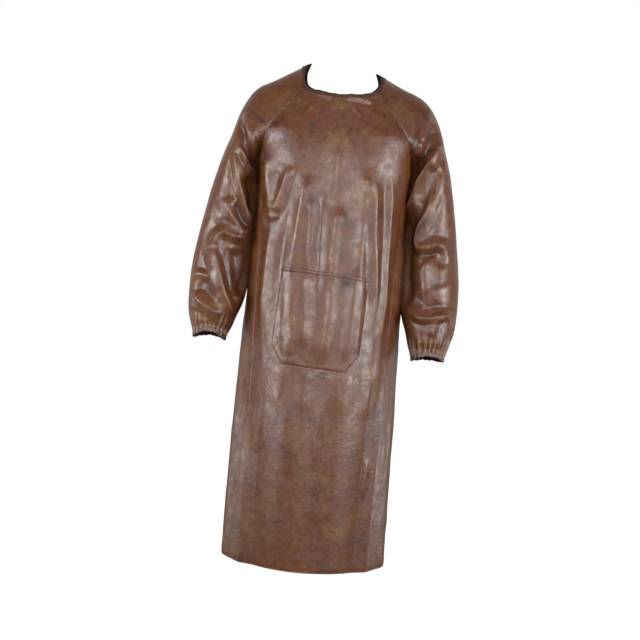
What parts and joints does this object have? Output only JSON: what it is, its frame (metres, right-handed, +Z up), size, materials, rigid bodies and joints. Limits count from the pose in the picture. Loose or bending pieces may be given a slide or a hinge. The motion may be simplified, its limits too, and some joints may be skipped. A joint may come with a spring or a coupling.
{
  "type": "sleeved work apron",
  "caption": "Long-sleeved waterproof work apron in coated brown leather cloth, with raglan sleeves, elastic cuffs, a bound round neck and a patch pocket, in the shape it has when worn.",
  "frame": {"origin": "midway between the high shoulder points, where the apron hangs on the wearer", "axes": "+Z up, the front faces -Y, +X towards the wearer's left"},
  "size_m": [0.6255, 0.2961, 1.1541],
  "materials": {
    "coated_leather": "glossy coated leather cloth, mottled brown",
    "leather_trim": "glossy coated leather cloth, folded double"
  },
  "bodies": {
    "root": {"front_panel": "coated_leather", "back_panel": "coated_leather", "left_sleeve": "coated_leather", "right_sleeve": "coated_leather", "left_cuff": "leather_trim", "right_cuff": "leather_trim", "neck_binding": "leather_trim", "pocket": "coated_leather"}
  },
  "joints": []
}
